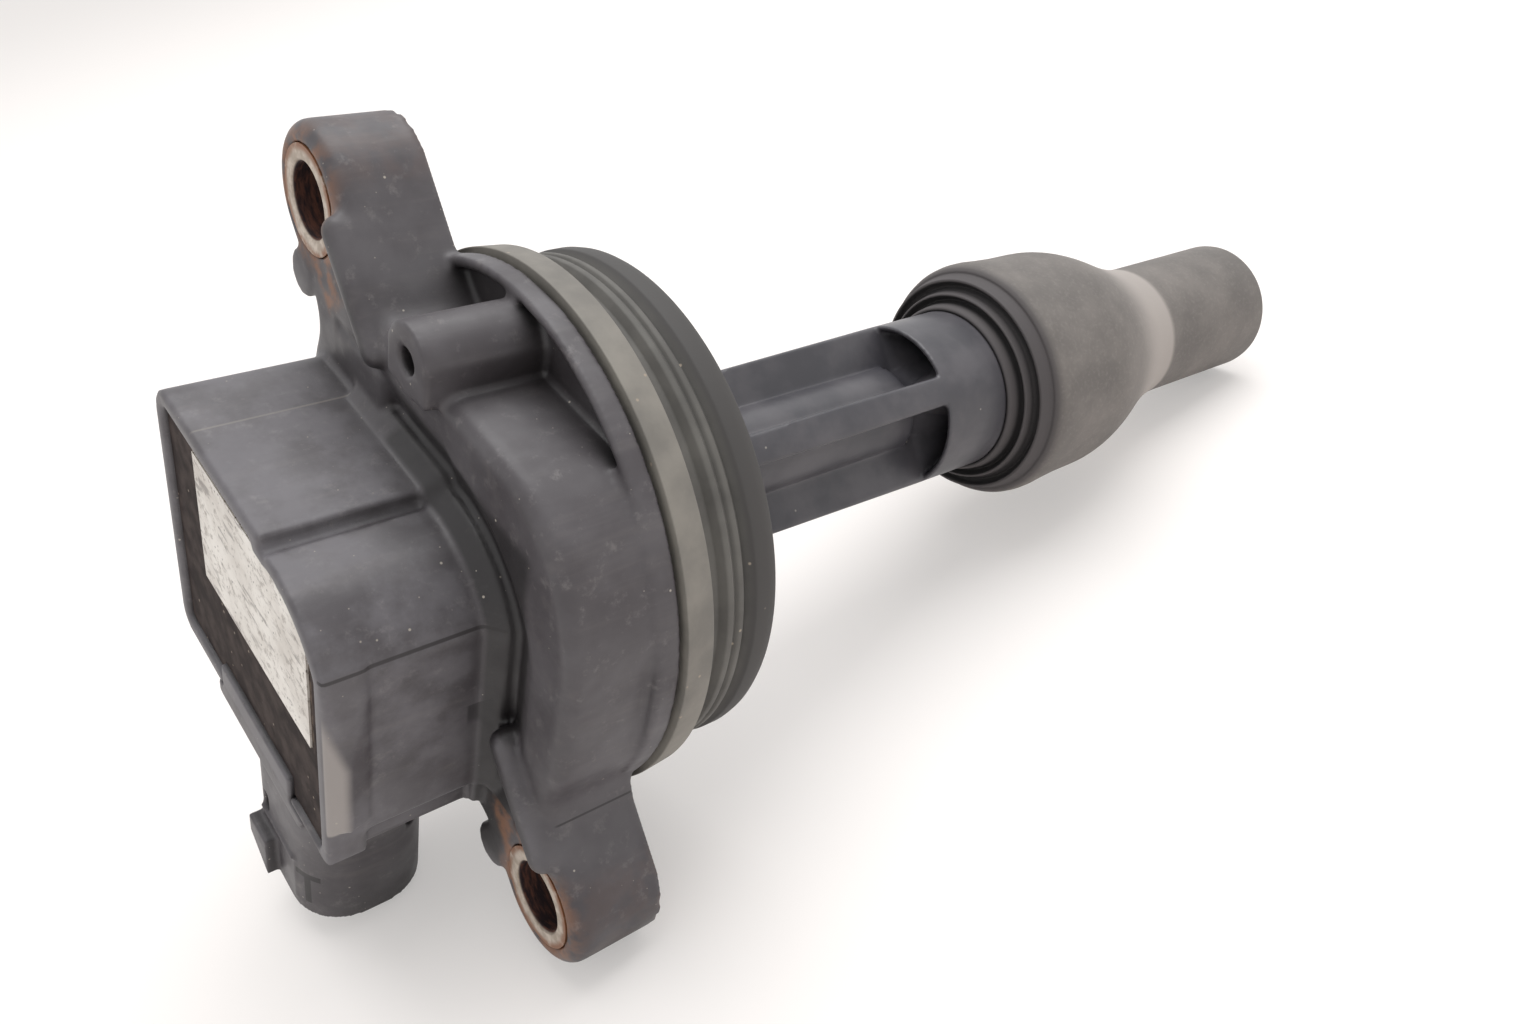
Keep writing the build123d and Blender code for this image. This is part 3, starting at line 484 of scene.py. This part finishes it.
finishes = {
    "bus_strips": copper_strip, "case": nylon, "conductor_rod": zinc_steel, "connector_housing": nylon,
    "connector_pins": tinned, "contact_spring": spring_wire, "core_e_laminations": lamination,
    "core_i_laminations": lamination, "core_magnet": magnet_plating, "flange_seal": band_rubber,
    "high_tension_terminal": brass, "igniter_heat_sink": aluminium, "igniter_module": chip_epoxy(),
    "label": label_film(), "mounting_bushings": rusty_sleeve(), "plug_contact": brass,
    "potting_resin": potting_epoxy(), "primary_bobbin": bobbin, "primary_winding": primary_wire,
    "secondary_bobbin": bobbin, "secondary_winding": secondary_wire, "spark_plug_boot": rubber,
    "suppression_resistor": fired_ceramic(), "tower": tower_nylon}


def dress(piece, mat):
    piece.data.materials.clear()
    piece.data.materials.append(mat)


for node_name, finish in finishes.items():
    dress(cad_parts[node_name], finish)


# ---- modelling helpers ---------------------------------------------------------------------------
MERGE_CAD = 0.000002  # corners of a CAD node's triangles that lie closer than this are one
MERGE_RINGS = 0.000005  # and so are a turned ring's first and last corners
ROUND_OVER = math.radians(20)


def only(piece):
    """Selects this piece alone."""
    bpy.ops.object.select_all(action="DESELECT")
    piece.select_set(True)
    bpy.context.view_layer.objects.active = piece


def finish_with(piece, kind, **settings):
    """Adds one modifier and applies it."""
    only(piece)
    modifier = piece.modifiers.new(kind.lower(), kind)
    for name, value in settings.items():
        setattr(modifier, name, value)
    bpy.ops.object.modifier_apply(modifier=modifier.name)


def merged_copy(node_name, new_name):
    """A copy of a CAD node with its loose triangles joined."""
    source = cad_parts[node_name]
    piece = bpy.data.objects.new(new_name, source.data.copy())
    bpy.context.collection.objects.link(piece)
    only(piece)
    bpy.ops.object.mode_set(mode="EDIT")
    bpy.ops.mesh.select_all(action="SELECT")
    bpy.ops.mesh.remove_doubles(threshold=MERGE_CAD)
    bpy.ops.object.mode_set(mode="OBJECT")
    return piece


def mould(piece, grain_mm, keep):
    """Softens every edge as a moulding's are: remeshed, relaxed, then thinned where it is flattest."""
    finish_with(piece, "REMESH", mode="VOXEL", voxel_size=grain_mm * MM, adaptivity=0.0)
    finish_with(piece, "SMOOTH", factor=0.5, iterations=3)
    finish_with(piece, "DECIMATE", ratio=keep)
    only(piece)
    bpy.ops.object.shade_smooth()


def turned(name, outline, sides):
    """A ring of rubber grown ring by ring along its closed outline of (radius, height) in mm."""
    bpy.ops.object.select_all(action="DESELECT")
    first = outline[0]
    bpy.ops.mesh.primitive_circle_add(vertices=sides, radius=first[0] * MM, location=(0, 0, first[1] * MM))
    piece = bpy.context.object
    piece.name = name
    bpy.ops.object.transform_apply(location=True, rotation=True, scale=True)
    bpy.ops.object.mode_set(mode="EDIT")
    bpy.ops.mesh.select_all(action="SELECT")
    for (radius, level), (next_radius, next_level) in zip(outline, outline[1:] + outline[:1]):
        rise = (0, 0, (next_level - level) * MM)
        bpy.ops.mesh.extrude_region_move(TRANSFORM_OT_translate={"value": rise})
        grow = next_radius / radius
        bpy.ops.transform.resize(value=(grow, grow, 1), center_override=(0, 0, next_level * MM))
    bpy.ops.mesh.select_all(action="SELECT")
    bpy.ops.mesh.remove_doubles(threshold=MERGE_RINGS)
    bpy.ops.mesh.normals_make_consistent(inside=False)
    bpy.ops.object.mode_set(mode="OBJECT")
    return piece


def round_edges(piece, radius_mm):
    """Rounds every crease sharper than 20 degrees."""
    finish_with(piece, "BEVEL", width=radius_mm * MM, segments=3, limit_method="ANGLE",
                angle_limit=ROUND_OVER, use_clamp_overlap=True)
    only(piece)
    bpy.ops.object.shade_smooth()


def eased(start, end, steps, start_slope=0.0, end_slope=0.0):
    """Points from start to end, exclusive of start, on a smooth curve. A slope is radius over height."""
    drop = end[1] - start[1]
    points = []
    for step in range(1, steps + 1):
        t = step / steps
        radius = ((2 * t ** 3 - 3 * t ** 2 + 1) * start[0] + (t ** 3 - 2 * t ** 2 + t) * drop * start_slope
                  + (3 * t ** 2 - 2 * t ** 3) * end[0] + (t ** 3 - t ** 2) * drop * end_slope)
        points.append((radius, start[1] + t * drop))
    return points


def block(name, low, high, turn=0.0):
    """A plain box between two corners in mm, turned about the coil's axis by so many degrees."""
    bpy.ops.object.select_all(action="DESELECT")
    middle = [(a + b) / 2 * MM for a, b in zip(low, high)]
    bpy.ops.mesh.primitive_cube_add(size=1, location=middle)
    piece = bpy.context.object
    piece.name = name
    piece.scale = [(b - a) * MM for a, b in zip(low, high)]
    bpy.ops.object.transform_apply(location=True, rotation=True, scale=True)
    piece.rotation_euler = (0, 0, math.radians(turn))
    bpy.ops.object.transform_apply(location=False, rotation=True, scale=False)
    return piece


def rounded_block(name, low, high, edge_mm, steps, turn=0.0):
    piece = block(name, low, high, turn)
    finish_with(piece, "BEVEL", width=edge_mm * MM, segments=steps, limit_method="NONE")
    return piece


def join_into(piece, *others):
    bpy.ops.object.select_all(action="DESELECT")
    for other in (piece,) + others:
        other.select_set(True)
    bpy.context.view_layer.objects.active = piece
    bpy.ops.object.join()


def hand_over(piece, mat, body, slot, *nodes):
    dress(piece, mat)
    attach(piece, body)
    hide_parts(*nodes)


# ---- pieces --------------------------------------------------------------------------------------
WEB_ACROSS = (3.9, 7.0)
WEB_ALONG = (17.0, 31.0)
WEB_HEIGHT = (7.6, 11.0)
ARM_FILL = ((-21.5, 8.0, 6.0), (-8.6, 14.6, 9.35))
OLD_LATCH = ((-6.4, -42.0, 24.42), (4.0, -33.6, 27.0))
LATCH = ((-5.9, -40.6, 23.4), (-1.5, -35.0, 25.8))
LATCH_SLANT_Y = -37.6


def make_case():
    """The main moulding, with a steep web beside each sleeve and the trough stopped at the upper arm."""
    case = merged_copy("case", "case_moulding")
    additions = []
    for name, way in (("upper_web", 1), ("lower_web", -1)):
        along = sorted(way * reach for reach in WEB_ALONG)
        low, high = zip(WEB_ACROSS, along, WEB_HEIGHT)
        additions.append(rounded_block(name, low, high, edge_mm=1.3, steps=5, turn=EAR_TURN))
    additions.append(rounded_block("arm_fill", *ARM_FILL, edge_mm=1.0, steps=4))
    join_into(case, *additions)
    mould(case, grain_mm=0.33, keep=0.45)
    hand_over(case, nylon, "coil", "case_plastic", "case")


def make_socket():
    """The connector's moulding. Its latch is a low block with one slanted corner, beside an open slot."""
    socket = merged_copy("connector_housing", "connector_moulding")
    cutter = block("latch_cutter", *OLD_LATCH)
    finish_with(socket, "BOOLEAN", operation="DIFFERENCE", solver="EXACT", object=cutter)
    bpy.data.objects.remove(cutter)
    latch = block("latch_block", *LATCH)
    middle = [(low + high) / 2 * MM for low, high in zip(*LATCH)]
    for corner in latch.data.vertices:
        if corner.co.x < middle[0] and corner.co.y < middle[1]:
            corner.co.y = LATCH_SLANT_Y * MM
    join_into(socket, latch)
    mould(socket, grain_mm=0.22, keep=0.45)
    hand_over(socket, nylon, "coil", "connector_plastic", "connector_housing")


def make_tower():
    tower = merged_copy("tower", "tower_moulding")
    mould(tower, grain_mm=0.25, keep=0.5)
    hand_over(tower, tower_nylon, "coil", "tower_plastic", "tower")


def make_boot():
    """The boot: ridged lips at its mouth, the bulge, the waist and the tip, then the bores inside it."""
    bulge_foot, neck, waist = (14.42, -76.4), (12.02, -86.0), (8.95, -98.5)
    neck_slope = 0.42
    lips = [(9.82, -61.0), (10.15, -61.0), (10.38, -61.25), (10.6, -62.8), (10.85, -63.2), (11.15, -62.9),
            (11.46, -62.3), (11.72, -62.35), (11.95, -63.5), (12.35, -64.1), (12.75, -63.8), (13.05, -63.2),
            (13.35, -63.25), (13.55, -64.2), (13.8, -64.8)]
    bulge = [(14.1, -64.85), (14.45, -65.2), (14.7, -65.8), (14.82, -66.6), (14.82, -67.6), (14.66, -69.5),
             (14.48, -72.5), bulge_foot]
    narrowing = eased(bulge_foot, neck, 8, end_slope=neck_slope)
    narrowing += eased(neck, waist, 10, start_slope=neck_slope)
    tip = [(8.98, -109.0), (9.02, -117.7), (8.93, -118.2), (8.7, -118.62), (8.35, -118.91), (7.85, -119.0)]
    plug_bore = [(5.6, -119.0), (5.1, -118.5), (5.1, -105.0), (5.1, -92.0), (4.2, -90.8), (4.2, -82.0)]
    tower_bore = [(4.2, -74.02), (8.82, -74.02), (9.82, -73.0), (9.82, -70.4), (10.72, -68.4),
                  (10.72, -67.4), (9.82, -66.4)]
    boot = turned("boot_moulding", lips + bulge + narrowing + tip + plug_bore + tower_bore, sides=128)
    round_edges(boot, radius_mm=0.12)
    hand_over(boot, rubber, "coil", "boot_rubber", "spark_plug_boot")


def make_spring():
    """The spring, copied from the CAD node as it stands. In the coil it sits between the rod's end, which
    is fixed, and the contact, which slides.
    """
    spring = merged_copy("contact_spring", "contact_spring_wire")
    bpy.ops.object.shade_smooth()
    dress(spring, spring_wire)
    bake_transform(spring)
    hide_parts("contact_spring")


def make_seal():
    """The flange seal: its wide band, two fine ridges and the round end lip."""
    band = [(22.42, -1.22), (24.4, -1.22), (24.8, -1.6), (26.85, -1.6), (26.6, -4.5), (25.0, -4.6)]
    ridges = [(24.4, -5.4), (24.4, -6.5), (25.2, -7.1), (25.2, -7.7), (24.8, -8.0), (25.2, -8.3),
              (25.2, -8.8), (24.4, -9.3)]
    lip = [(24.8, -9.7), (25.3, -10.2), (25.3, -11.5), (25.14, -12.2), (24.8, -12.75), (24.3, -13.1),
           (23.7, -13.4), (23.02, -13.6), (22.42, -13.6)]
    seal = turned("seal_moulding", band + ridges + lip, sides=192)
    round_edges(seal, radius_mm=0.14)
    hand_over(seal, band_rubber, "coil", "seal_rubber", "flange_seal")


make_case()
make_socket()
make_tower()
make_boot()
make_spring()
make_seal()


# ---- floor and lights ----------------------------------------------------------------------------
def seen_directly(where):
    """1 for what the camera sees straight on, in a mirror or through glass."""
    path = add_node(where, "LightPath")
    mirrored = either(where, path.outputs["Is Glossy Ray"], path.outputs["Is Transmission Ray"])
    return either(where, path.outputs["Is Camera Ray"], mirrored)


def white_paper():
    """White paper: seen as near white with a soft shadow, and see-through from below."""
    mat, shader = new_finish("white_paper", roughness=0.9)
    shader.inputs["Base Color"].default_value = linear("#f7f2ef")
    glow = add_node(mat, "Emission", None, {"Color": (1.0, 0.985, 0.97, 1.0), "Strength": 1.0})
    share = both(mat, seen_directly(mat), PAPER_GLOW)
    paper = add_node(mat, "MixShader", None, {0: share, 1: shader.outputs[0], 2: glow.outputs[0]})
    clear = add_node(mat, "BsdfTransparent")
    below = add_node(mat, "NewGeometry").outputs["Backfacing"]
    mixer = add_node(mat, "MixShader", None, {0: below, 1: paper.outputs[0], 2: clear.outputs[0]})
    mat.node_tree.links.new(mixer.outputs[0], mat.node_tree.nodes["Material Output"].inputs["Surface"])
    return mat


def add_floor():
    bpy.ops.object.select_all(action="DESELECT")
    bpy.ops.mesh.primitive_plane_add(size=FLOOR_SIZE, location=FLOOR_UP * FLOOR_LEVEL)
    floor = bpy.context.object
    floor.name = "floor"
    floor.rotation_mode = "QUATERNION"
    floor.rotation_quaternion = FLOOR_UP.to_track_quat("Z", "Y")
    dress(floor, white_paper())


def add_lamp(name, way, distance, size, power):
    """A soft square lamp that looks at the coil from a direction. Lengths are in metres."""
    data = bpy.data.lights.new(name, "AREA")
    data.shape = "SQUARE"
    data.size = size
    data.energy = power
    lamp = bpy.data.objects.new(name, data)
    lamp.location = COIL_MIDDLE + way.normalized() * distance
    lamp.rotation_mode = "QUATERNION"
    lamp.rotation_quaternion = (lamp.location - COIL_MIDDLE).to_track_quat("Z", "Y")
    bpy.context.collection.objects.link(lamp)


def add_world():
    """A plain white studio, whose backdrop stays white for the eye and for what metal mirrors."""
    world = bpy.data.worlds.new("studio")
    bpy.context.scene.world = world
    world.use_nodes = True
    world.node_tree.nodes.clear()
    light = add_node(world, "Background", None, {"Color": linear("#fbfaf9"), "Strength": STUDIO_LIGHT})
    backdrop = add_node(world, "Background", None, {"Color": (1, 1, 1, 1), "Strength": 1.0})
    mixer = add_node(world, "MixShader", None, {0: seen_directly(world), 1: light.outputs[0],
                                                2: backdrop.outputs[0]})
    add_node(world, "OutputWorld", None, {"Surface": mixer.outputs[0]})


add_floor()
add_world()
add_lamp("overhead", LAMP_WAY, distance=0.9, size=0.9, power=7.8)

bpy.context.scene.view_settings.view_transform = "Standard"
